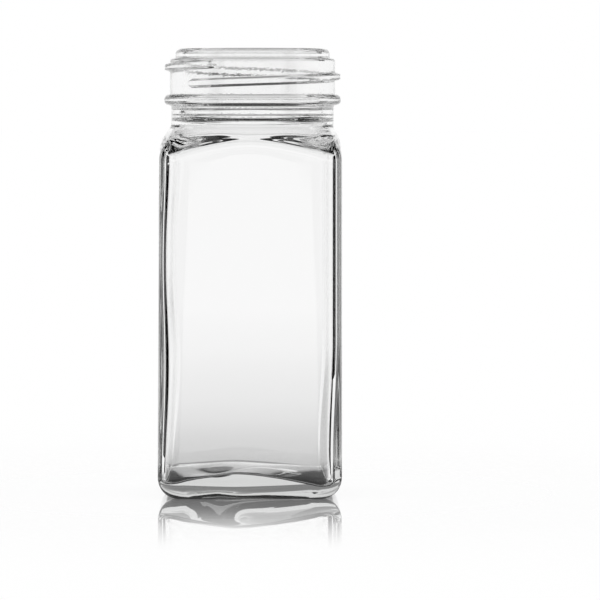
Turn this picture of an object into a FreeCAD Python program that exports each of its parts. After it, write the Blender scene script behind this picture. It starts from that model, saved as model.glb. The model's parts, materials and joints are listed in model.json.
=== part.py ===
import FreeCAD, Part
import math
import os
import Sketcher

# A square spice jar in clear glass, open at the top, moulded as one piece.
# Four flat sides with rounded corners rise to a shoulder that is a cone cut by the square, so that the
# top of each side is an arch. A round neck with a carrying bead, a wall for the closure thread and a
# narrower lip stand on it. The inside follows the outside at the wall's thickness, on a heavy base.
# Millimetres, +Z up, with the origin under the middle of the base.

DIMENSIONS = [
    ("overall_height", 106.5, "base to rim"),
    ("body_width", 43.6, "across the flat sides"),
    ("corner_radius", 6.0, "upright corners, outside"),
    ("heel_radius", 5.0, "between the sides and the base"),
    ("shoulder_width", 2.4, "how far the middle of a side stands out past the neck"),
    ("shoulder_fall_share", 0.78, "fall of the shoulder for each unit outwards"),
    ("shoulder_edge_radius", 4.4, "rounding where the shoulder meets the sides"),
    ("neck_height", 18.5, "line where the neck meets the shoulder, up to the rim"),
    ("neck_root_radius", 0.8, "hollow rounding at the foot of the neck"),
    ("thread_wall_reach", 0.35, "how far the thread wall stands out past the neck"),
    ("bead_rise", 4.75, "foot of the neck to the underside of the bead"),
    ("bead_height", 2.8, "carrying bead, from its underside to its upper edge"),
    ("bead_slant", 0.5, "rise of the bead's underside from the neck to its crest"),
    ("bead_reach", 1.35, "how far the bead stands out past the thread wall"),
    ("bead_edge_radius", 0.9, "rounding of the bead's crest, above and below"),
    ("bead_foot_radius", 0.25, "hollow rounding beside the bead"),
    ("lip_setback", 1.3, "how far the lip stands in from the thread wall"),
    ("lip_height", 2.4, "ledge to rim"),
    ("lip_width", 2.25, "glass between the lip's outside and the mouth"),
    ("lip_edge_radius", 1.2, "rounding of the rim, outside"),
    ("mouth_edge_radius", 0.6, "rounding of the rim, inside"),
    ("lip_foot_radius", 0.4, "hollow rounding between the lip and its ledge"),
    ("ledge_radius", 0.7, "rounding of the ledge's outer edge"),
    ("side_wall", 2.1, "glass of the flat sides"),
    ("inner_corner_radius", 3.6, "upright corners, inside"),
    ("shoulder_wall", 2.7, "glass of the shoulder, measured upright"),
    ("mouth_flare_radius", 4.0, "rounding where the mouth opens into the body"),
    ("inner_edge_radius", 2.0, "inside rounding under the shoulder"),
    ("floor_height", 7.1, "base to the inner floor, in the middle"),
    ("floor_flat_radius", 20.0, "where the floor starts to fall towards the corners"),
    ("floor_fall_share", 0.58, "fall of the floor for each unit outwards"),
    ("floor_round", 12.0, "rounding where the floor starts to fall"),
    ("floor_edge_radius", 1.2, "rounding between the floor and the sides"),
    ("punt_radius", 13.0, "hollow under the base"),
    ("punt_depth", 1.4, "depth of that hollow in the middle"),
    ("edge_limit_share", 0.9, "largest edge rounding for each unit of the corner or slope it runs along"),
    ("crest_limit_share", 0.68, "largest rounding of a step's crest for each unit that the step stands out"),
    ("foot_limit_share", 0.31, "largest rounding of a step's foot for each unit that the step stands out"),
    ("lip_limit_share", 0.54, "largest outer rounding of the rim for each unit of its width"),
    ("mouth_limit_share", 0.27, "largest inner rounding of the rim for each unit of its width"),
    ("overrun", 1.0, "how far a cutting form runs past what it cuts"),
]

# Sizes worked out from the sheet, in its own words
HALF_WIDTH = "dims.body_width / 2"
FAR = "dims.body_width"
NECK_RADIUS = f"({HALF_WIDTH} - dims.shoulder_width)"
NECK_BASE = "(dims.overall_height - dims.neck_height)"
NECK_MIDDLE = f"({NECK_BASE} + dims.bead_rise / 2)"
THREAD_WALL_RADIUS = f"({NECK_RADIUS} + dims.thread_wall_reach)"
LIP_RADIUS = f"({THREAD_WALL_RADIUS} - dims.lip_setback)"
MOUTH_RADIUS = f"({LIP_RADIUS} - dims.lip_width)"
BEAD_RADIUS = f"({THREAD_WALL_RADIUS} + dims.bead_reach)"
BEAD_UNDERSIDE = f"({NECK_BASE} + dims.bead_rise)"
BEAD_TOP = f"({BEAD_UNDERSIDE} + dims.bead_height)"
BEAD_ROUNDING = "min(dims.bead_edge_radius; dims.bead_reach * dims.crest_limit_share)"
BEAD_FOOT_ROUNDING = "min(dims.bead_foot_radius; dims.bead_reach * dims.foot_limit_share)"
LEDGE_HEIGHT = "(dims.overall_height - dims.lip_height)"
INNER_HALF_WIDTH = f"({HALF_WIDTH} - dims.side_wall)"
INNER_NECK_BASE = (
    f"({NECK_BASE} - dims.shoulder_wall + ({NECK_RADIUS} - {MOUTH_RADIUS}) * dims.shoulder_fall_share)"
)
ABOVE_RIM = "(dims.overall_height + dims.overrun)"
HEEL_ROUNDING = "min(dims.heel_radius; dims.corner_radius * dims.edge_limit_share)"
INNER_ROUNDING = "min(dims.inner_edge_radius; dims.inner_corner_radius * dims.edge_limit_share)"
FLOOR_ROUNDING = "min(dims.floor_edge_radius; dims.inner_corner_radius * dims.edge_limit_share)"
LEDGE_ROUNDING = "min(dims.ledge_radius; dims.lip_setback * dims.crest_limit_share)"
LIP_FOOT_ROUNDING = "min(dims.lip_foot_radius; dims.lip_setback * dims.foot_limit_share)"
LIP_ROUNDING = "min(dims.lip_edge_radius; dims.lip_width * dims.lip_limit_share)"
MOUTH_ROUNDING = "min(dims.mouth_edge_radius; dims.lip_width * dims.mouth_limit_share)"

# Roundings at the two ends of the shoulder's slope, which share its length
TURN_SHARE = "(1 - dims.shoulder_fall_share / sqrt(1 + dims.shoulder_fall_share ^ 2))"
SLOPE_LIMIT = f"(dims.shoulder_width / {TURN_SHARE} * dims.edge_limit_share)"
SHOULDER_ROUNDING = f"min(dims.shoulder_edge_radius; {SLOPE_LIMIT} - dims.neck_root_radius)"
INNER_SLOPE_LIMIT = f"(({INNER_HALF_WIDTH} - {MOUTH_RADIUS}) / {TURN_SHARE} * dims.edge_limit_share)"
FLARE_ROUNDING = f"min(dims.mouth_flare_radius; {INNER_SLOPE_LIMIT} - dims.inner_edge_radius)"

# How a sketch numbers its origin, its axes and the two ends of a line
ORIGIN_POINT = (-1, 1)
X_AXIS, Y_AXIS = range(-1, -3, -1)
START, END = range(1, 3)
CLOSE_ENOUGH = 1e-6


def make_sheet(doc):
    """The driving dimensions, one row each: name, size and meaning."""
    sheet = doc.addObject("Spreadsheet::Sheet", "dims")
    for row, (alias, size, meaning) in enumerate(DIMENSIONS, start=1):
        sheet.set(f"A{row}", alias)
        sheet.set(f"B{row}", str(size))
        sheet.set(f"C{row}", meaning)
        sheet.setAlias(f"B{row}", alias)
    doc.recompute()
    return sheet


def make_body(doc, name):
    body = doc.addObject("PartDesign::Body", name)
    body.Label = name
    return body


def make_sketch(body, name, role):
    """An empty sketch on one of the body's own origin planes."""
    plane = next(item for item in body.Origin.OriginFeatures if item.Role == role)
    sketch = body.newObject("Sketcher::SketchObject", name)
    sketch.AttachmentSupport = (plane, [""])
    sketch.MapMode = "FlatFace"
    return sketch


def place_point(sketch, geometry, end, point, across, up):
    """Holds a point at a place given in the sheet's words."""
    for kind, axis, size, words in (
        ("DistanceX", Y_AXIS, point.x, across),
        ("DistanceY", X_AXIS, point.y, up),
    ):
        if abs(size) < CLOSE_ENOUGH:
            sketch.addConstraint(Sketcher.Constraint("PointOnObject", geometry, end, axis))
        elif size > 0:
            index = sketch.addConstraint(Sketcher.Constraint(kind, *ORIGIN_POINT, geometry, end, size))
            sketch.setExpression(f"Constraints[{index}]", words)
        else:
            index = sketch.addConstraint(Sketcher.Constraint(kind, geometry, end, *ORIGIN_POINT, -size))
            sketch.setExpression(f"Constraints[{index}]", f"-({words})")


def round_corner(before, point, after, radius):
    """Where a rounding leaves the first side and joins the second, its centre, and whether it turns left."""
    back = (before - point).normalize()
    ahead = (after - point).normalize()
    half_angle = back.getAngle(ahead) / 2
    setback = radius / math.tan(half_angle)
    centre = point + (back + ahead).normalize() * (radius / math.sin(half_angle))
    turns_left = back.cross(ahead).z < 0
    return point + back * setback, point + ahead * setback, centre, turns_left


def add_arc(sketch, leaves, joins, centre, turns_left):
    first, last = (leaves, joins) if turns_left else (joins, leaves)
    angles = [math.atan2(spot.y - centre.y, spot.x - centre.x) for spot in (first, last)]
    if angles[1] < angles[0]:
        angles[1] += math.tau
    circle = Part.Circle(centre, FreeCAD.Vector(0, 0, 1), (first - centre).Length)
    return sketch.addGeometry(Part.ArcOfCircle(circle, *angles), False)


def draw_outline(sketch, sheet, corners):
    """A closed outline through corners (across, up, rounding), each written in the sheet's words."""
    points = []
    for across, up, _ in corners:
        points.append(FreeCAD.Vector(sheet.evalExpression(across), sheet.evalExpression(up), 0))
    bends = []
    for index, (_, _, rounding) in enumerate(corners):
        if rounding:
            after = points[(index + 1) % len(points)]
            radius = sheet.evalExpression(rounding)
            bends.append(round_corner(points[index - 1], points[index], after, radius))
        else:
            bends.append((points[index], points[index], None, None))
    lines = []
    for index, bend in enumerate(bends):
        following = bends[(index + 1) % len(bends)]
        lines.append(sketch.addGeometry(Part.LineSegment(bend[1], following[0]), False))
    for index, (across, up, rounding) in enumerate(corners):
        before = lines[index - 1]
        after = lines[index]
        if not rounding:
            sketch.addConstraint(Sketcher.Constraint("Coincident", before, END, after, START))
            place_point(sketch, after, START, points[index], across, up)
            continue
        mark = sketch.addGeometry(Part.Point(points[index]), True)
        place_point(sketch, mark, START, points[index], across, up)
        sketch.addConstraint(Sketcher.Constraint("PointOnObject", mark, START, before))
        sketch.addConstraint(Sketcher.Constraint("PointOnObject", mark, START, after))
        arc = add_arc(sketch, *bends[index])
        arc_first, arc_last = (START, END) if bends[index][3] else (END, START)
        sketch.addConstraint(Sketcher.Constraint("Tangent", before, END, arc, arc_first))
        sketch.addConstraint(Sketcher.Constraint("Tangent", arc, arc_last, after, START))
        hold = sketch.addConstraint(Sketcher.Constraint("Radius", arc, sheet.evalExpression(rounding)))
        sketch.setExpression(f"Constraints[{hold}]", rounding)


def square_outline(half_width, rounding):
    return [
        (half_width, f"-({half_width})", rounding),
        (half_width, half_width, rounding),
        (f"-({half_width})", half_width, rounding),
        (f"-({half_width})", f"-({half_width})", rounding),
    ]


def add_pad(body, sheet, name, corners, length):
    sketch = make_sketch(body, f"{name}_outline", "XY_Plane")
    draw_outline(sketch, sheet, corners)
    pad = body.newObject("PartDesign::Pad", name)
    pad.Profile = sketch
    pad.setExpression("Length", length)
    body.Document.recompute()
    return pad


def add_turned(body, sheet, kind, name, corners):
    """A Revolution or a Groove of an outline, all the way round the upright axis."""
    volume_before = body.Shape.Volume
    sketch = make_sketch(body, f"{name}_outline", "XZ_Plane")
    draw_outline(sketch, sheet, corners)
    feature = body.newObject(f"PartDesign::{kind}", name)
    feature.Profile = sketch
    feature.ReferenceAxis = (sketch, ["V_Axis"])
    body.Document.recompute()
    if (body.Shape.Volume < volume_before) != (kind == "Groove"):
        raise RuntimeError(f"{name} points the wrong way")
    return feature


def side_edges(shape, height, upper):
    """Names of the edges that end the upright sides, above or below a height which all the sides cross."""
    sides = [face for face in shape.Faces if face.BoundBox.ZMin < height < face.BoundBox.ZMax]
    names = []
    for number, edge in enumerate(shape.Edges, start=1):
        owners = [face for face in sides if any(edge.isSame(other) for other in face.Edges)]
        if len(owners) == 1 and (edge.CenterOfMass.z > height) == upper:
            names.append(f"Edge{number}")
    return names


def add_fillet(body, name, base, edges, radius):
    fillet = body.newObject("PartDesign::Fillet", name)
    fillet.Base = (base, edges)
    fillet.setExpression("Radius", radius)
    body.Document.recompute()
    return fillet


def cone_outline(radius, foot_height, rounding, top):
    """The space outside an upright wall that opens, round a bend, into the shoulder's slope."""
    return [
        (radius, top, None),
        (radius, foot_height, rounding),
        (FAR, f"{foot_height} - ({FAR} - {radius}) * dims.shoulder_fall_share", None),
        (FAR, top, None),
    ]


def make_outside(body, sheet):
    """The form that the mould gives: square body, shoulder, neck, bead, thread wall and lip."""
    add_pad(body, sheet, "sides", square_outline(HALF_WIDTH, "dims.corner_radius"), NECK_MIDDLE)
    shoulder_space = cone_outline(
        NECK_RADIUS, NECK_BASE, "dims.neck_root_radius", f"{NECK_MIDDLE} + dims.overrun"
    )
    add_turned(body, sheet, "Groove", "shoulder", shoulder_space)
    finish = [
        ("0", NECK_MIDDLE, None),
        (NECK_RADIUS, NECK_MIDDLE, None),
        (NECK_RADIUS, BEAD_UNDERSIDE, BEAD_FOOT_ROUNDING),
        (BEAD_RADIUS, f"{BEAD_UNDERSIDE} + dims.bead_slant", BEAD_ROUNDING),
        (BEAD_RADIUS, BEAD_TOP, BEAD_ROUNDING),
        (THREAD_WALL_RADIUS, BEAD_TOP, BEAD_FOOT_ROUNDING),
        (THREAD_WALL_RADIUS, LEDGE_HEIGHT, LEDGE_ROUNDING),
        (LIP_RADIUS, LEDGE_HEIGHT, LIP_FOOT_ROUNDING),
        (LIP_RADIUS, "dims.overall_height", None),
        ("0", "dims.overall_height", None),
    ]
    neck = add_turned(body, sheet, "Revolution", "finish", finish)
    middle = sheet.evalExpression("dims.overall_height / 2")
    edge = add_fillet(body, "shoulder_edge", neck, side_edges(neck.Shape, middle, True), SHOULDER_ROUNDING)
    heel = add_fillet(body, "heel", edge, side_edges(edge.Shape, middle, False), HEEL_ROUNDING)
    return heel


def add_punt(body, sheet):
    """The shallow round hollow under the base, part of a ball."""
    ball_radius = "((dims.punt_radius ^ 2 + dims.punt_depth ^ 2) / (2 * dims.punt_depth))"
    radius = sheet.evalExpression(ball_radius)
    depth = sheet.evalExpression("dims.punt_depth")
    width = sheet.evalExpression("dims.punt_radius")
    volume_before = body.Shape.Volume
    sketch = make_sketch(body, "punt_outline", "XZ_Plane")
    base = sketch.addGeometry(Part.LineSegment(FreeCAD.Vector(0, 0, 0), FreeCAD.Vector(width, 0, 0)), False)
    centre = FreeCAD.Vector(0, depth - radius, 0)
    rim_angle = math.atan2(radius - depth, width)
    circle = Part.Circle(centre, FreeCAD.Vector(0, 0, 1), radius)
    arc = sketch.addGeometry(Part.ArcOfCircle(circle, rim_angle, math.pi / 2), False)
    axis = sketch.addGeometry(Part.LineSegment(FreeCAD.Vector(0, depth, 0), FreeCAD.Vector(0, 0, 0)), False)
    for first, second in ((base, arc), (arc, axis), (axis, base)):
        sketch.addConstraint(Sketcher.Constraint("Coincident", first, END, second, START))
    sketch.addConstraint(Sketcher.Constraint("Coincident", base, START, *ORIGIN_POINT))
    sketch.addConstraint(Sketcher.Constraint("PointOnObject", base, END, X_AXIS))
    sketch.addConstraint(Sketcher.Constraint("PointOnObject", axis, START, Y_AXIS))
    for geometry, size, words, kind in (
        (base, width, "dims.punt_radius", "Distance"),
        (axis, depth, "dims.punt_depth", "Distance"),
        (arc, radius, ball_radius, "Radius"),
    ):
        index = sketch.addConstraint(Sketcher.Constraint(kind, geometry, size))
        sketch.setExpression(f"Constraints[{index}]", words)
    punt = body.newObject("PartDesign::Groove", "punt")
    punt.Profile = sketch
    punt.ReferenceAxis = (sketch, ["V_Axis"])
    body.Document.recompute()
    if body.Shape.Volume >= volume_before:
        raise RuntimeError("punt cuts nothing")
    return punt


def make_inside(body, sheet):
    """The space inside the glass: square, with its own shoulder, a round mouth and a crowned floor."""
    inner_square = square_outline(INNER_HALF_WIDTH, "dims.inner_corner_radius")
    add_pad(body, sheet, "room", inner_square, ABOVE_RIM)
    mouth_space = cone_outline(
        MOUTH_RADIUS, INNER_NECK_BASE, FLARE_ROUNDING, f"{ABOVE_RIM} + dims.overrun"
    )
    add_turned(body, sheet, "Groove", "mouth", mouth_space)
    fall = f"({FAR} - dims.floor_flat_radius) * dims.floor_fall_share"
    floor_glass = [
        ("0", f"-({FAR})", None),
        (FAR, f"-({FAR})", None),
        (FAR, f"dims.floor_height - {fall}", None),
        ("dims.floor_flat_radius", "dims.floor_height", "dims.floor_round"),
        ("0", "dims.floor_height", None),
    ]
    floor = add_turned(body, sheet, "Groove", "floor", floor_glass)
    middle = sheet.evalExpression("dims.overall_height / 2")
    upper_edges = side_edges(floor.Shape, middle, True)
    top = add_fillet(body, "inner_shoulder_edge", floor, upper_edges, INNER_ROUNDING)
    lower_edges = side_edges(top.Shape, middle, False)
    return add_fillet(body, "floor_edge", top, lower_edges, FLOOR_ROUNDING)


def rim_edge(shape, outer):
    """Name of the widest or the narrowest edge in the rim's plane."""
    rim_height = shape.BoundBox.ZMax
    edges = []
    for number, edge in enumerate(shape.Edges, start=1):
        if edge.BoundBox.ZMin > rim_height - CLOSE_ENOUGH:
            edges.append((edge.Length, f"Edge{number}"))
    return max(edges)[1] if outer else min(edges)[1]


def hollow_out(jar, room):
    """Takes the room out of the glass and rounds both edges of the rim."""
    hollow = jar.newObject("PartDesign::Boolean", "hollow")
    hollow.Type = "Cut"
    hollow.setObjects([room])
    jar.Document.recompute()
    lip = add_fillet(jar, "lip_edge", hollow, [rim_edge(hollow.Shape, True)], LIP_ROUNDING)
    add_fillet(jar, "mouth_edge", lip, [rim_edge(lip.Shape, False)], MOUTH_ROUNDING)


def check_document(doc):
    for item in doc.Objects:
        if "Invalid" in item.State or "Error" in item.State:
            raise RuntimeError(f"{item.Name} failed: {item.State}")


def main():
    doc = FreeCAD.newDocument("spice_jar")
    sheet = make_sheet(doc)
    room = make_body(doc, "inner_room")
    make_inside(room, sheet)
    jar = make_body(doc, "glass_jar")
    make_outside(jar, sheet)
    add_punt(jar, sheet)
    hollow_out(jar, room)
    doc.recompute()
    check_document(doc)
    shape = jar.Shape
    if shape.isNull() or not shape.isValid() or len(shape.Solids) != 1:
        raise RuntimeError("glass_jar is not one valid solid")
    os.makedirs("parts", exist_ok=True)
    shape.exportStep(f"parts/{jar.Label}.step")
    box = shape.optimalBoundingBox(False, False)
    print(jar.Label, "volume", round(shape.Volume), "faces", len(shape.Faces), "box", box)
    print("room volume", round(room.Shape.Volume))


main()
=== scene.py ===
import json
import math

import bmesh
import bpy
from mathutils import Matrix, Vector


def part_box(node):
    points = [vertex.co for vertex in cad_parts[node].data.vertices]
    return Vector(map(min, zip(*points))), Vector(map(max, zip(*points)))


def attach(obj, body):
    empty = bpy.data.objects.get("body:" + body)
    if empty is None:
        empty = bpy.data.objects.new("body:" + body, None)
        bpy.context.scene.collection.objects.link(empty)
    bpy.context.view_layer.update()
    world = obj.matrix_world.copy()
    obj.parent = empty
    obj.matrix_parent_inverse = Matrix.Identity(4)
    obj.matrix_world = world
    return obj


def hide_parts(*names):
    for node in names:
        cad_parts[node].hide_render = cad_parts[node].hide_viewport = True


# A square spice jar in clear glass, open and empty, on a pale glossy floor in a white studio.
# The jar is one closed skin of glass, laid ring by ring: from the middle of the underside outwards, up the
# outside, over the lip and down the inside to the middle of the floor. Metres, +Z up.

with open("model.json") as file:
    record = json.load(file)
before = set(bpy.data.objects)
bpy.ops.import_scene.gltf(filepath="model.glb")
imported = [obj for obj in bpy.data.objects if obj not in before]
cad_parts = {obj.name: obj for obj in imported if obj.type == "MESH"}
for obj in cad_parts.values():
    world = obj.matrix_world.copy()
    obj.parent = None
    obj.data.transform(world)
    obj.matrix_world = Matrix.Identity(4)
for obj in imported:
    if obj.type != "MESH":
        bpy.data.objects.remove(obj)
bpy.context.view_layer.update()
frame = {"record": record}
jar_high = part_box("glass_jar")[1]
mounts = {mount["name"]: mount for mount in frame["record"]["mounts"]}
MM_PER_M = 1000

# Outside of the jar
HALF_WIDTH = jar_high.x
HEIGHT = jar_high.z
CORNER_RADIUS = 0.006
HEEL_RADIUS = 0.005
SHOULDER_WIDTH = 0.0024
SHOULDER_DROP = 0.0037
SHOULDER_FALL_SHARE = 0.40
SHOULDER_EDGE_RADIUS = 0.0048
SHOULDER_JOIN_SHARE = 0.25
NECK_HEIGHT = 0.0185
NECK_BASE = HEIGHT - NECK_HEIGHT
NECK_RADIUS = HALF_WIDTH - SHOULDER_WIDTH
NECK_ROOT_RADIUS = 0.0010
PUNT_RADIUS = 0.013
PUNT_DEPTH = 0.0014

# Neck, bead, thread and lip
THREAD_WALL = mounts["neck"]["dims"]["r_mm"] / MM_PER_M
BEAD_RISE = 0.00475
BEAD_UNDERSIDE = NECK_BASE + BEAD_RISE
BEAD_HEIGHT = 0.0028
BEAD_SLANT = 0.0006
BEAD_REACH = 0.00135
BEAD_RADIUS = THREAD_WALL + BEAD_REACH
BEAD_LOW_ROUND = 0.0010
BEAD_TOP_ROUND = 0.0012
BEAD_FOOT_ROUND = 0.0003
BEAD_HEAD_ROUND = 0.00003
LIP_INSET = 0.0013
LIP_RADIUS = THREAD_WALL - LIP_INSET
LEDGE_DROP = 0.0024
LEDGE = HEIGHT - LEDGE_DROP
LEDGE_ROUND = 0.0007
LIP_FOOT_ROUND = 0.0004
LIP_EDGE_ROUND = 0.0014
MOUTH_EDGE_ROUND = 0.0007
MOUTH = mounts["mouth"]["dims"]["r_mm"] / MM_PER_M
THREAD_RISE = 0.00125
THREAD_TOUCH = 0.000025
THREAD_HALF_WIDTH = 0.00112
THREAD_CREST_SHARE = 0.48
THREAD_PITCH = 0.0044
THREAD_MIDDLE = 0.0998
THREAD_START = math.radians(-135.5)
THREAD_END = math.radians(240)

# Inside of the jar
SIDE_WALL = 0.0021
INNER_HALF_WIDTH = HALF_WIDTH - SIDE_WALL
INNER_CORNER_RADIUS = 0.0036
MOUTH_END = 0.0930
THROAT_STEPS = ((0.0921, 0.00035, 0.0004), (0.0907, 0.00025, 0.00028), (0.0896, 0.0010, 0.0008))
THROAT = MOUTH + sum(rise for _, rise, _ in THROAT_STEPS)
THROAT_SOFT_SHARE = 1.4
THROAT_MIDDLE_SHARE = 0.5
INNER_SHOULDER = 0.08585
INNER_FALL_SHARE = 0.165
INNER_SHOULDER_HEIGHT = 0.00405
INNER_SPREAD_SHARE = 0.67
INNER_TURN_POWER = 1.41

# Inner floor, which sinks towards the corners
FLOOR_HEIGHT = 0.0068
FLOOR_CROWN = 0.0005
FLOOR_SKEW_SHARE = 0.2
FLOOR_SINK_POWER = 1.4
FRONT_LEFT_SINK = 0.0034
FRONT_RIGHT_SINK = 0.0036
BACK_LEFT_SINK = 0.0012
BACK_RIGHT_SINK = 0.0020
FLOOR_EDGE_RADIUS = 0.0008
BACK_EDGE_SHARE = 0.35
HOLLOW_DEPTH = 0.0017
HOLLOW = Vector((-0.0075, -0.008))
HOLLOW_SPREAD = Vector((0.0060, 0.009))

# Uneven glass inside
LEFT_SWELL = 0.00025
LEFT_SWELL_LENGTH = 0.052
LEFT_SWELL_TOP = 0.031
RIGHT_SWELL = 0.0007
RIGHT_SWELL_LOW = 0.010
RIGHT_SWELL_HIGH = 0.038

# Set of the mould halves
LEFT_LEAN = 0.00045
NECK_OFFSET = 0.0007
NECK_OFFSET_LOW = 0.083
NECK_OFFSET_HIGH = 0.090

# Mesh density
FLAT_STEPS = 26
CORNER_STEPS = 24
PUNT_ROWS = 14
WALL_ROWS = 40
THREAD_ROWS = 110
THROAT_ROWS = 56
SHOULDER_ROWS = 40
FLOOR_ROWS = 24
SEAM_GAP = 1e-6

# Photograph's view
CAMERA_DISTANCE = 1.150
CAMERA_HEIGHT = 0.095
AIM = Vector((0.01204, 0, 0.04635))
SENSOR_MM = 36
VIEW_WIDTH = 0.14358

# Clear glass, with a fine grain on the neck
GLASS_IOR = 1.52
GLASS_TINT = (0.30, 0.31, 0.30, 1)
GLASS_DENSITY = 12
GRAIN_LOW = 0.0885
GRAIN_HIGH = 0.0905
GRAIN_SCALE = 1300
GRAIN_DETAIL = 3
GRAIN_DEPTH = 0.000013
BODY_GRAIN_SHARE = 0.02

# White room, by direction: a dark ceiling for the glass, and a dark front for its reflections
WHITE = (1, 1, 1, 1)
BLACK = (0, 0, 0, 1)
CEILING_EDGE = 0.27
CEILING_DARK = 0.34
CEILING_GREY = 0.01
ROOM_DARK = -0.45
ROOM_EDGE = -0.15
ROOM_TOP = 0.10
ROOM_END = 0.16
MAX_BOUNCES = 24
GLOSSY_BOUNCES = 16

# Floor as the camera sees it
FLOOR_RADIUS = 12.0
FLOOR_SIDES = 96
SHADOW_SHARE = 0.5
GLOSS_GAIN = 1.45
GLOSS_SHARE = 0.92
GLOSS_START = 0.03
GLOSS_END = 0.15

# Floor as the glass sees it: painted shade, greys by distance from the jar, close to it and on a sheet behind
# it
FLOOR_SHADE_TONES = ((0.02, 0.30), (0.05, 0.32), (0.09, 0.54), (0.14, 0.62), (0.18, 0.65), (0.26, 0.75),
               (0.355, 0.82), (0.65, 0.92), (1.0, 0.97))
NEAR_FLOOR = 0.05
NEAR_FLOOR_END = 0.09
SHEET_HALF_WIDTH = 0.05
SHEET_SIDE = 0.08
SHEET_START = 0.0
SHEET_FULL = 0.03

# Black on that floor: at the sides, a painted contact shadow under the jar, and a painted dark reflection in
# front, seen only in the glass's reflections
CARD_SLOPE_SHARE = 2.0
CARD_SIDE = 0.0
CARD_FULL = 0.015
CARD_FOOT = 0.02
CARD_FOOT_END = 0.035
CARD_NEAR = 0.25
CARD_FAR = 0.27
CONTACT_START = 0.0165
CONTACT_END = 0.0205
CONTACT_SHADE = 0.93
FRONT_DARK = -0.10
FRONT_EDGE = -0.04
FRONT_AISLE = 0.05
FRONT_SIDE = 0.08

# Black cards beside the jar
BACK_FLAG_DISTANCE = 0.25
BACK_FLAG_WIDTH = 0.20
BACK_FLAG_HEIGHT = 0.0875
BACK_FLAG_TURN = math.radians(64)
FRONT_FLAG_DISTANCE = 0.6
FRONT_FLAG_WIDTH = 0.19
FRONT_FLAG_HEIGHT = 0.6
FRONT_FLAG_TURN = math.radians(117)
FLAG_GREY = (0.002, 0.002, 0.002, 1)
FLAG_HALF_SHARE = 0.5


def soft_step(share):
    """Eases a share from 0 to 1, flat at both ends."""
    share = min(max(share, 0), 1)
    return share * share * (3 - 2 * share)


def square_reach(angle, half_width, corner_radius):
    """How far a rounded square reaches at an angle, and how squarely its edge faces that way."""
    folded = abs((angle + math.pi / 4) % (math.pi / 2) - math.pi / 4)
    straight = half_width - corner_radius
    if math.tan(folded) * half_width <= straight:
        return half_width / math.cos(folded), math.cos(folded)
    spoke = Vector((math.cos(folded), math.sin(folded)))
    centre = Vector((straight, straight))
    along = spoke.dot(centre)
    reach = along + math.sqrt(along * along - centre.length_squared + corner_radius * corner_radius)
    return reach, spoke.dot((spoke * reach - centre) / corner_radius)


def spoke_angles():
    """Directions of the mesh's spokes: even steps along each flat side and round each corner."""
    straight = HALF_WIDTH - CORNER_RADIUS
    quarter = []
    for step in range(FLAT_STEPS):
        quarter.append(math.atan2(straight * (2 * step / FLAT_STEPS - 1), HALF_WIDTH))
    for step in range(CORNER_STEPS):
        turn = math.pi / 2 * step / CORNER_STEPS
        quarter.append(math.atan2(
            straight + CORNER_RADIUS * math.sin(turn), straight + CORNER_RADIUS * math.cos(turn)
        ))
    return [angle + math.pi / 2 * side for side in range(4) for angle in quarter]


def bend_path(corners):
    """Points along a path through corners (reach, height, rounding, steps round it, steps after it)."""
    spots = [Vector(corner[:2]) for corner in corners]
    points = []
    for index, (_, _, rounding, round_steps, steps_after) in enumerate(corners):
        if rounding:
            back = (spots[index - 1] - spots[index]).normalized()
            ahead = (spots[index + 1] - spots[index]).normalized()
            half_angle = back.angle(ahead) / 2
            middle = spots[index] + (back + ahead).normalized() * (rounding / math.sin(half_angle))
            first = spots[index] + back * (rounding / math.tan(half_angle)) - middle
            turn = math.pi - 2 * half_angle
            if back.cross(ahead) > 0:
                turn = -turn
            arc = []
            for step in range(round_steps + 1):
                arc.append(Matrix.Rotation(turn * step / round_steps, 2) @ first + middle)
        else:
            arc = [spots[index]]
        if points:
            start = points[-1]
            steps = corners[index - 1][4]
            points += [start.lerp(arc[0], step / steps) for step in range(1, steps)]
        points += arc
    return points


def outside_path(angle):
    """Underside, heel, flat side and shoulder along one spoke, in its own plane."""
    reach, facing = square_reach(angle, HALF_WIDTH, CORNER_RADIUS)
    edge_height = NECK_BASE - SHOULDER_DROP - (reach - HALF_WIDTH) * SHOULDER_FALL_SHARE
    join = NECK_RADIUS + (reach - NECK_RADIUS) * SHOULDER_JOIN_SHARE
    join_height = NECK_BASE + (edge_height - NECK_BASE) * SHOULDER_JOIN_SHARE
    punt = []
    for step in range(PUNT_ROWS + 1):
        share = step / PUNT_ROWS
        punt.append(Vector((PUNT_RADIUS * share, PUNT_DEPTH * (1 - share * share) ** 2)))
    body = bend_path([
        (PUNT_RADIUS * facing, 0, 0, 0, 4),
        (reach * facing, 0, HEEL_RADIUS, 16, WALL_ROWS),
        (reach * facing, edge_height, SHOULDER_EDGE_RADIUS, 16, 4),
        (join * facing, join_height, 0, 0, 0),
    ])
    neck = bend_path([
        (join, join_height, 0, 0, 1),
        (NECK_RADIUS, NECK_BASE, NECK_ROOT_RADIUS, 6, 6),
        (NECK_RADIUS, BEAD_UNDERSIDE, BEAD_FOOT_ROUND, 4, 3),
        (BEAD_RADIUS, BEAD_UNDERSIDE + BEAD_SLANT, BEAD_LOW_ROUND, 8, 2),
        (BEAD_RADIUS, BEAD_UNDERSIDE + BEAD_HEIGHT, BEAD_TOP_ROUND, 10, 2),
        (THREAD_WALL, BEAD_UNDERSIDE + BEAD_HEIGHT, BEAD_HEAD_ROUND, 4, THREAD_ROWS),
        (THREAD_WALL, LEDGE, LEDGE_ROUND, 7, 2),
        (LIP_RADIUS, LEDGE, LIP_FOOT_ROUND, 5, 4),
        (LIP_RADIUS, HEIGHT, LIP_EDGE_ROUND, 10, 2),
        (MOUTH, HEIGHT, MOUTH_EDGE_ROUND, 8, 16),
        (MOUTH, MOUTH_END, 0, 0, 0),
    ])
    return punt + [Vector((point.x / facing, point.y)) for point in body[1:]] + neck[1:]


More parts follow.
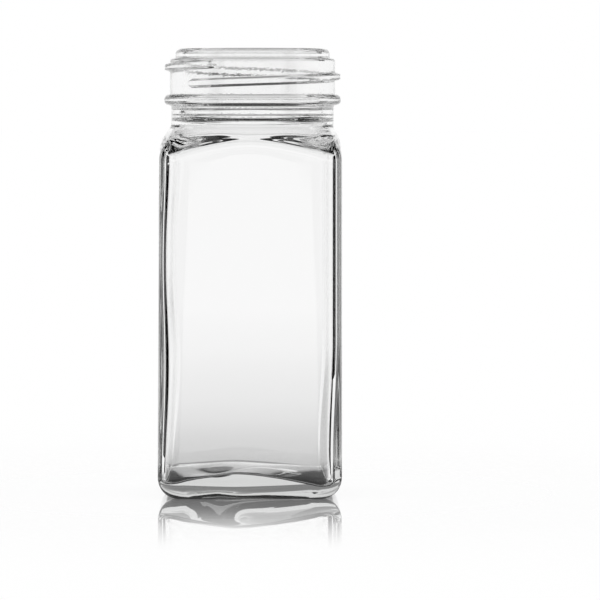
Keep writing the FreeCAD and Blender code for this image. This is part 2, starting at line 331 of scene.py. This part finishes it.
def floor_level(x, y):
    """Height of the inner floor, crowned in the middle and sunk towards its four corners."""
    across = x / INNER_HALF_WIDTH
    back = y / INNER_HALF_WIDTH
    front_sink = FRONT_LEFT_SINK + (FRONT_RIGHT_SINK - FRONT_LEFT_SINK) * (1 + across) / 2
    back_sink = BACK_LEFT_SINK + (BACK_RIGHT_SINK - BACK_LEFT_SINK) * (1 + across) / 2
    sink = front_sink + (back_sink - front_sink) * (1 + back) / 2
    skewed = across + FLOOR_SKEW_SHARE * (1 - across * across)
    corner_share = abs(skewed * back) ** FLOOR_SINK_POWER
    crown = FLOOR_CROWN * max(across * across, back * back)
    from_hollow = Vector(((x - HOLLOW.x) / HOLLOW_SPREAD.x, (y - HOLLOW.y) / HOLLOW_SPREAD.y))
    hollow = HOLLOW_DEPTH * math.exp(-from_hollow.length_squared)
    return FLOOR_HEIGHT - crown - sink * corner_share - hollow


def throat_reach(angle, height):
    """Radius of the throat, which widens downwards from the mouth in steps, softest over the corners."""
    reach = MOUTH
    softness = 1 + THROAT_SOFT_SHARE * math.sin(2 * angle) ** 4
    for middle, rise, length in THROAT_STEPS:
        reach += rise * soft_step((middle - height) / (length * softness) + THROAT_MIDDLE_SHARE)
    return reach


def inside_path(angle):
    """Throat, inner shoulder, flat side and floor along one spoke, from the mouth down to the middle."""
    reach, facing = square_reach(angle, INNER_HALF_WIDTH, INNER_CORNER_RADIUS)
    spread = reach - INNER_HALF_WIDTH
    middle = INNER_SHOULDER - spread * INNER_FALL_SHARE
    drop = INNER_SHOULDER_HEIGHT + spread * INNER_SPREAD_SHARE
    top = middle + drop / 2
    points = []
    for step in range(1, THROAT_ROWS + 1):
        height = MOUTH_END + (top - MOUTH_END) * step / THROAT_ROWS
        points.append(Vector((throat_reach(angle, height), height)))
    for step in range(1, SHOULDER_ROWS + 1):
        share = step / SHOULDER_ROWS
        turned = soft_step(share ** INNER_TURN_POWER)
        points.append(Vector((THROAT + (reach - THROAT) * turned, top - drop * share)))
    along = Vector((math.cos(angle), math.sin(angle)))
    rounding = FLOOR_EDGE_RADIUS * (1 - (1 - BACK_EDGE_SHARE) * soft_step((along.y + 1) / 2))
    inset = reach - 2 * FLOOR_EDGE_RADIUS
    foot = along * reach
    step_in = along * inset
    wall = bend_path([
        (reach * facing, top - drop, 0, 0, WALL_ROWS),
        (reach * facing, floor_level(*foot), rounding, 14, 4),
        (inset * facing, floor_level(*step_in), 0, 0, 0),
    ])
    points += [Vector((point.x / facing, point.y)) for point in wall[1:]]
    for step in range(1, FLOOR_ROWS + 1):
        spot = along * (inset * (1 - step / FLOOR_ROWS))
        points.append(Vector((spot.length, floor_level(*spot))))
    return points


def wall_swell(x, height):
    """How far the uneven inner wall stands in from its true place, left and right."""
    if x < 0:
        wave = math.cos(math.tau * (height - LEFT_SWELL_TOP) / LEFT_SWELL_LENGTH)
        return LEFT_SWELL * wave * (x / INNER_HALF_WIDTH) ** 2
    rise = soft_step((RIGHT_SWELL_HIGH - height) / (RIGHT_SWELL_HIGH - RIGHT_SWELL_LOW))
    return -RIGHT_SWELL * rise * (x / INNER_HALF_WIDTH) ** 2


def mould_set(x, height):
    """Sideways set of the glass: the left side leans in towards the top, the neck sits off the middle."""
    shift = NECK_OFFSET * soft_step((height - NECK_OFFSET_LOW) / (NECK_OFFSET_HIGH - NECK_OFFSET_LOW))
    lean = LEFT_LEAN * height / NECK_BASE * max(-x / HALF_WIDTH, 0)
    return max(shift, lean)


def thread_rise(angle, height):
    """How far the closure thread stands out of its wall."""
    rise = 0
    for turn in (-1, 0, 1):
        along = angle + math.tau * turn
        nearest = min(max(along, THREAD_START), THREAD_END)
        middle = THREAD_MIDDLE + THREAD_PITCH * nearest / math.tau
        offset = math.hypot(height - middle, (along - nearest) * THREAD_WALL) / THREAD_HALF_WIDTH
        flank = (1 - offset) / (1 - THREAD_CREST_SHARE)
        rise = max(rise, THREAD_RISE * soft_step(flank))
    return rise


def jar_spoke(angle):
    """All points of the skin along one direction, from the underside to the inner floor."""
    outside = outside_path(angle)
    inside = inside_path(angle)
    folded = (angle + math.pi) % math.tau - math.pi
    spoke = []
    for index, point in enumerate(outside + inside):
        out = point.x
        if abs(out - THREAD_WALL) < THREAD_TOUCH:
            out += thread_rise(folded, point.y)
        x = out * math.cos(angle)
        if index >= len(outside):
            x += wall_swell(x, point.y)
        spoke.append(Vector((x + mould_set(x, point.y), out * math.sin(angle), point.y)))
    return spoke


def set_out(name, bm):
    """Turns a finished bmesh into an object in the scene."""
    mesh = bpy.data.meshes.new(name)
    bm.to_mesh(mesh)
    bm.free()
    piece = bpy.data.objects.new(name, mesh)
    bpy.context.collection.objects.link(piece)
    return piece


def wrap_skin(name, spokes):
    """Wraps a flat grid round the spokes, a column to each, and closes its seam and its two poles."""
    around = len(spokes)
    along = len(spokes[0]) - 1
    bm = bmesh.new()
    bmesh.ops.create_grid(bm, x_segments=around, y_segments=along, size=1)
    for vert in bm.verts:
        column = round((vert.co.x + 1) / 2 * around) % around
        row = round((vert.co.y + 1) / 2 * along)
        vert.co = spokes[column][row]
    bmesh.ops.remove_doubles(bm, verts=bm.verts, dist=SEAM_GAP)
    bmesh.ops.recalc_face_normals(bm, faces=bm.faces)
    for face in bm.faces:
        face.smooth = True
    return set_out(name, bm)


def clear_glass():
    """Clear, smooth glass that greys a little with depth, finely grained on the neck."""
    material = bpy.data.materials.new("clear_glass")
    material.use_nodes = True
    nodes = material.node_tree.nodes
    links = material.node_tree.links
    shader = nodes["Principled BSDF"]
    shader.inputs["Base Color"].default_value = WHITE
    shader.inputs["Transmission Weight"].default_value = 1
    shader.inputs["IOR"].default_value = GLASS_IOR
    shader.inputs["Roughness"].default_value = 0
    place = nodes.new("ShaderNodeTexCoord")
    split = nodes.new("ShaderNodeSeparateXYZ")
    links.new(place.outputs["Object"], split.inputs["Vector"])
    neck = nodes.new("ShaderNodeMapRange")
    neck.inputs["From Min"].default_value = GRAIN_LOW
    neck.inputs["From Max"].default_value = GRAIN_HIGH
    neck.inputs["To Min"].default_value = BODY_GRAIN_SHARE
    neck.inputs["To Max"].default_value = 1
    links.new(split.outputs["Z"], neck.inputs["Value"])
    grain = nodes.new("ShaderNodeTexNoise")
    grain.inputs["Scale"].default_value = GRAIN_SCALE
    grain.inputs["Detail"].default_value = GRAIN_DETAIL
    links.new(place.outputs["Object"], grain.inputs["Vector"])
    height = nodes.new("ShaderNodeMath")
    height.operation = "MULTIPLY"
    links.new(grain.outputs["Fac"], height.inputs[0])
    links.new(neck.outputs["Result"], height.inputs[1])
    bump = nodes.new("ShaderNodeBump")
    bump.inputs["Strength"].default_value = 1
    bump.inputs["Distance"].default_value = GRAIN_DEPTH
    links.new(height.outputs["Value"], bump.inputs["Height"])
    links.new(bump.outputs["Normal"], shader.inputs["Normal"])
    depth = nodes.new("ShaderNodeVolumeAbsorption")
    depth.inputs["Color"].default_value = GLASS_TINT
    depth.inputs["Density"].default_value = GLASS_DENSITY
    links.new(depth.outputs["Volume"], nodes["Material Output"].inputs["Volume"])
    return material


def soft_range(tree, value, low, high, at_low, at_high):
    """A value that goes smoothly from one level to another between two limits of its source."""
    node = tree.nodes.new("ShaderNodeMapRange")
    node.interpolation_type = "SMOOTHSTEP"
    node.inputs["From Min"].default_value = low
    node.inputs["From Max"].default_value = high
    node.inputs["To Min"].default_value = at_low
    node.inputs["To Max"].default_value = at_high
    tree.links.new(value, node.inputs["Value"])
    return node.outputs["Result"]


def combine(tree, operation, first, second):
    """One number worked out from two sockets, or from a socket and a plain number."""
    node = tree.nodes.new("ShaderNodeMath")
    node.operation = operation
    for place, source in enumerate((first, second)):
        if isinstance(source, (int, float)):
            node.inputs[place].default_value = source
        else:
            tree.links.new(source, node.inputs[place])
    return node.outputs["Value"]


def blend_shaders(tree, share, first, second):
    """The first shader, giving way to the second by a share."""
    node = tree.nodes.new("ShaderNodeMixShader")
    if isinstance(share, (int, float)):
        node.inputs["Fac"].default_value = share
    else:
        tree.links.new(share, node.inputs["Fac"])
    tree.links.new(first, node.inputs[1])
    tree.links.new(second, node.inputs[2])
    return node.outputs["Shader"]


def gloss_shader(tree):
    """A clean white mirror."""
    node = tree.nodes.new("ShaderNodeBsdfGlossy")
    node.inputs["Roughness"].default_value = 0
    node.inputs["Color"].default_value = WHITE
    return node.outputs["BSDF"]


def glow_shader(tree, tint):
    """Plain glow, white where no tint is given."""
    node = tree.nodes.new("ShaderNodeEmission")
    if tint is None:
        node.inputs["Color"].default_value = WHITE
    else:
        tree.links.new(tint, node.inputs["Color"])
    return node.outputs["Emission"]


def studio_floor():
    """White to the camera, with the jar's reflection close by. The glass sees it in other tones, by place:
    painted shade close by and on a sheet behind, a painted contact shadow under the jar, and a painted dark
    reflection in front.
    """
    bm = bmesh.new()
    bmesh.ops.create_circle(bm, cap_ends=True, segments=FLOOR_SIDES, radius=FLOOR_RADIUS)
    floor = set_out("studio_floor", bm)
    material = bpy.data.materials.new("studio_floor")
    material.use_nodes = True
    tree = material.node_tree
    nodes = tree.nodes
    nodes.clear()
    out = nodes.new("ShaderNodeOutputMaterial")
    place = nodes.new("ShaderNodeTexCoord").outputs["Object"]
    split = nodes.new("ShaderNodeSeparateXYZ")
    tree.links.new(place, split.inputs["Vector"])
    measure = nodes.new("ShaderNodeVectorMath")
    measure.operation = "LENGTH"
    tree.links.new(place, measure.inputs[0])
    away = measure.outputs["Value"]
    across = combine(tree, "ABSOLUTE", split.outputs["X"], 0)
    along = combine(tree, "ABSOLUTE", split.outputs["Y"], 0)
    behind = split.outputs["Y"]

    # What the glass sees: painted shade in grey close by and on a sheet behind, black at the sides, and a
    # painted contact shadow in black where the jar stands
    tone = nodes.new("ShaderNodeValToRGB")
    ramp = tone.color_ramp
    ramp.elements[0].position, first_grey = FLOOR_SHADE_TONES[0]
    ramp.elements[0].color = (first_grey, first_grey, first_grey, 1)
    ramp.elements[1].position, last_grey = FLOOR_SHADE_TONES[-1]
    ramp.elements[1].color = (last_grey, last_grey, last_grey, 1)
    for spot, grey in FLOOR_SHADE_TONES[1:-1]:
        ramp.elements.new(spot).color = (grey, grey, grey, 1)
    tree.links.new(away, tone.inputs["Fac"])
    close_by = soft_range(tree, away, NEAR_FLOOR, NEAR_FLOOR_END, 1, 0)
    sheet = combine(
        tree, "MULTIPLY", soft_range(tree, across, SHEET_HALF_WIDTH, SHEET_SIDE, 1, 0),
        soft_range(tree, behind, SHEET_START, SHEET_FULL, 0, 1)
    )
    painted_shade_share = combine(tree, "MAXIMUM", sheet, close_by)
    toned = blend_shaders(tree, painted_shade_share, glow_shader(tree, None), glow_shader(tree, tone.outputs["Color"]))
    aside = combine(tree, "SUBTRACT", across, combine(tree, "MULTIPLY", behind, CARD_SLOPE_SHARE))
    beside = combine(
        tree, "MULTIPLY", soft_range(tree, aside, CARD_SIDE, CARD_FULL, 0, 1),
        soft_range(tree, behind, CARD_FOOT, CARD_FOOT_END, 0, 1)
    )
    beside = combine(tree, "MULTIPLY", beside, soft_range(tree, away, CARD_NEAR, CARD_FAR, 1, 0))
    black = nodes.new("ShaderNodeBsdfDiffuse")
    black.inputs["Color"].default_value = BLACK
    toned = blend_shaders(tree, beside, toned, black.outputs["BSDF"])
    # Painted contact shadow: black on the floor under the jar's foot, as the glass sees it
    contact = combine(tree, "MAXIMUM", across, along)
    under = soft_range(tree, contact, CONTACT_START, CONTACT_END, CONTACT_SHADE, 0)
    through_glass = blend_shaders(tree, under, toned, black.outputs["BSDF"])
    path = nodes.new("ShaderNodeLightPath")
    # Painted dark reflection: the floor in front of the jar is black only in the glass's reflections
    front = combine(
        tree, "MULTIPLY", soft_range(tree, behind, FRONT_DARK, FRONT_EDGE, 1, 0),
        soft_range(tree, across, FRONT_AISLE, FRONT_SIDE, 0, 1)
    )
    mirrored = combine(tree, "MULTIPLY", path.outputs["Is Reflection Ray"], front)
    through_glass = blend_shaders(tree, mirrored, through_glass, black.outputs["BSDF"])

    # What the camera sees: white that takes the jar's shadow, glossy round the jar
    matt = nodes.new("ShaderNodeBsdfDiffuse")
    matt.inputs["Color"].default_value = WHITE
    shaded = blend_shaders(tree, SHADOW_SHARE, glow_shader(tree, None), matt.outputs["BSDF"])
    fresnel = nodes.new("ShaderNodeFresnel").outputs["Fac"]
    gloss = combine(tree, "MINIMUM", combine(tree, "MULTIPLY", fresnel, GLOSS_GAIN), 1)
    fade = soft_range(tree, away, GLOSS_START, GLOSS_END, GLOSS_SHARE, 0)
    seen_gloss = combine(tree, "MULTIPLY", gloss, fade)
    seen = blend_shaders(tree, seen_gloss, shaded, gloss_shader(tree))

    shown = blend_shaders(tree, path.outputs["Is Camera Ray"], through_glass, seen)
    tree.links.new(shown, out.inputs["Surface"])
    floor.data.materials.append(material)


def black_flag(name, distance, width, height, turn):
    """A black card beside the jar, which only its glass shows, as a dark line along the edges."""
    bm = bmesh.new()
    bmesh.ops.create_grid(bm, x_segments=1, y_segments=1, size=FLAG_HALF_SHARE)
    bmesh.ops.scale(bm, vec=(width, height, 1), verts=bm.verts)
    bmesh.ops.rotate(bm, matrix=Matrix.Rotation(math.pi / 2, 3, "X"), verts=bm.verts)
    bmesh.ops.translate(bm, vec=(0, distance, height / 2), verts=bm.verts)
    bmesh.ops.rotate(bm, matrix=Matrix.Rotation(turn, 3, "Z"), verts=bm.verts)
    flag = set_out(name, bm)
    material = bpy.data.materials.new(name)
    material.use_nodes = True
    shader = material.node_tree.nodes["Principled BSDF"]
    shader.inputs["Base Color"].default_value = FLAG_GREY
    shader.inputs["Specular IOR Level"].default_value = 0
    shader.inputs["Roughness"].default_value = 1
    flag.data.materials.append(material)
    flag.visible_camera = False
    flag.visible_diffuse = False
    flag.visible_glossy = False
    flag.visible_shadow = False


def studio_world():
    """White all round. The glass shows a dark ceiling, and its reflections a dark room in front."""
    world = bpy.data.worlds.new("white_studio")
    bpy.context.scene.world = world
    world.use_nodes = True
    tree = world.node_tree
    nodes = tree.nodes
    nodes.clear()
    out = nodes.new("ShaderNodeOutputWorld")
    place = nodes.new("ShaderNodeTexCoord")
    split = nodes.new("ShaderNodeSeparateXYZ")
    tree.links.new(place.outputs["Generated"], split.inputs["Vector"])
    ceiling = soft_range(tree, split.outputs["Z"], CEILING_EDGE, CEILING_DARK, 1, CEILING_GREY)
    room = combine(
        tree, "MULTIPLY", soft_range(tree, split.outputs["Y"], ROOM_DARK, ROOM_EDGE, 1, 0),
        soft_range(tree, split.outputs["Z"], ROOM_TOP, ROOM_END, 1, 0)
    )
    path = nodes.new("ShaderNodeLightPath")
    mirrored = combine(tree, "MULTIPLY", path.outputs["Is Reflection Ray"], room)
    lit = combine(tree, "SUBTRACT", 1, mirrored)
    sky = nodes.new("ShaderNodeBackground")
    tree.links.new(combine(tree, "MULTIPLY", ceiling, lit), sky.inputs["Color"])
    white = nodes.new("ShaderNodeBackground")
    white.inputs["Color"].default_value = WHITE
    by_glass = combine(tree, "MAXIMUM", path.outputs["Is Glossy Ray"], path.outputs["Is Transmission Ray"])
    shown = blend_shaders(tree, by_glass, white.outputs["Background"], sky.outputs["Background"])
    tree.links.new(shown, out.inputs["Surface"])


def photo_camera():
    """A long lens, level with the jar's neck."""
    camera = bpy.data.objects.new("photo_camera", bpy.data.cameras.new("photo_camera"))
    bpy.context.collection.objects.link(camera)
    camera.location = (0, -CAMERA_DISTANCE, CAMERA_HEIGHT)
    camera.rotation_euler = (AIM - camera.location).to_track_quat("-Z", "Y").to_euler()
    camera.data.sensor_width = SENSOR_MM
    camera.data.lens = SENSOR_MM * CAMERA_DISTANCE / VIEW_WIDTH
    camera.data.clip_end = 2 * FLOOR_RADIUS
    bpy.context.scene.camera = camera


jar = wrap_skin("square_glass_jar", [jar_spoke(angle) for angle in spoke_angles()])
jar.data.materials.append(clear_glass())
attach(jar, "root")
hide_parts("glass_jar")
studio_floor()
black_flag("back_left_flag", BACK_FLAG_DISTANCE, BACK_FLAG_WIDTH, BACK_FLAG_HEIGHT, BACK_FLAG_TURN)
black_flag("back_right_flag", BACK_FLAG_DISTANCE, BACK_FLAG_WIDTH, BACK_FLAG_HEIGHT, -BACK_FLAG_TURN)
black_flag("front_left_flag", FRONT_FLAG_DISTANCE, FRONT_FLAG_WIDTH, FRONT_FLAG_HEIGHT, FRONT_FLAG_TURN)
black_flag("front_right_flag", FRONT_FLAG_DISTANCE, FRONT_FLAG_WIDTH, FRONT_FLAG_HEIGHT, -FRONT_FLAG_TURN)
studio_world()
photo_camera()
scene = bpy.context.scene
scene.view_settings.view_transform = "Standard"
scene.cycles.max_bounces = MAX_BOUNCES
scene.cycles.transmission_bounces = MAX_BOUNCES
scene.cycles.glossy_bounces = GLOSSY_BOUNCES
